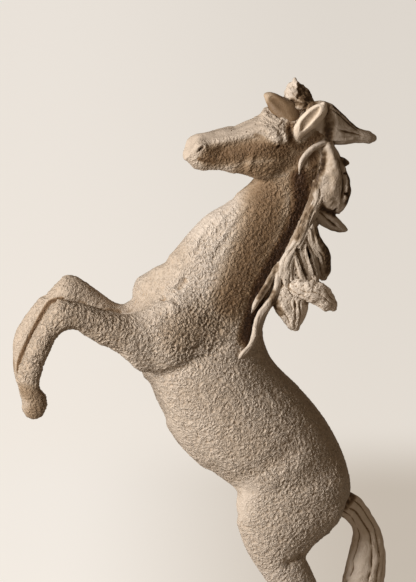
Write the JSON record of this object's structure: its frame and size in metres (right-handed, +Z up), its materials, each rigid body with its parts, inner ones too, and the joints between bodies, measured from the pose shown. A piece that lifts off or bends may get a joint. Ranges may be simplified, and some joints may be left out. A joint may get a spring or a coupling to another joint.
{
  "type": "horse figurine",
  "caption": "Rearing horse figurine in stippled cast stone, with a flowing mane; it stands on its hind hooves and the end of its long tail.",
  "frame": {"origin": "on the ground under the middle of the figure's bounding box", "axes": "+Z up, the horse faces -X and its left side, the one seen in the picture, faces -Y"},
  "size_m": [0.1984, 0.0606, 0.3457],
  "materials": {
    "rough_stone": "cast stone-effect resin, beige, stippled rough coat with brown wash in the hollows, matte",
    "smooth_stone": "cast stone-effect resin, beige, modelled smooth with strand grooves and brown wash, matte",
    "steel": "plain steel rod, hidden inside the castings"
  },
  "bodies": {
    "root": {"torso": "rough_stone", "neck": "rough_stone", "head": "rough_stone", "left_foreleg": "rough_stone", "right_foreleg": "rough_stone", "left_hind_leg": "rough_stone", "right_hind_leg": "rough_stone", "left_eye": "rough_stone", "right_eye": "rough_stone", "tail": "smooth_stone", "left_ear": "smooth_stone", "right_ear": "smooth_stone", "forelock": "smooth_stone", "poll_lock": "smooth_stone", "cheek_lock": "smooth_stone", "front_lock": "smooth_stone", "shoulder_strand": "smooth_stone", "short_strand": "smooth_stone", "upper_crest_lock": "smooth_stone", "crest_spike": "smooth_stone", "middle_lock": "smooth_stone", "lower_lock": "smooth_stone", "back_lock": "smooth_stone", "neck_dowel": "steel", "head_dowel": "steel", "left_foreleg_dowel": "steel", "right_foreleg_dowel": "steel", "left_hind_dowel": "steel", "right_hind_dowel": "steel", "tail_dowel": "steel"}
  },
  "joints": []
}
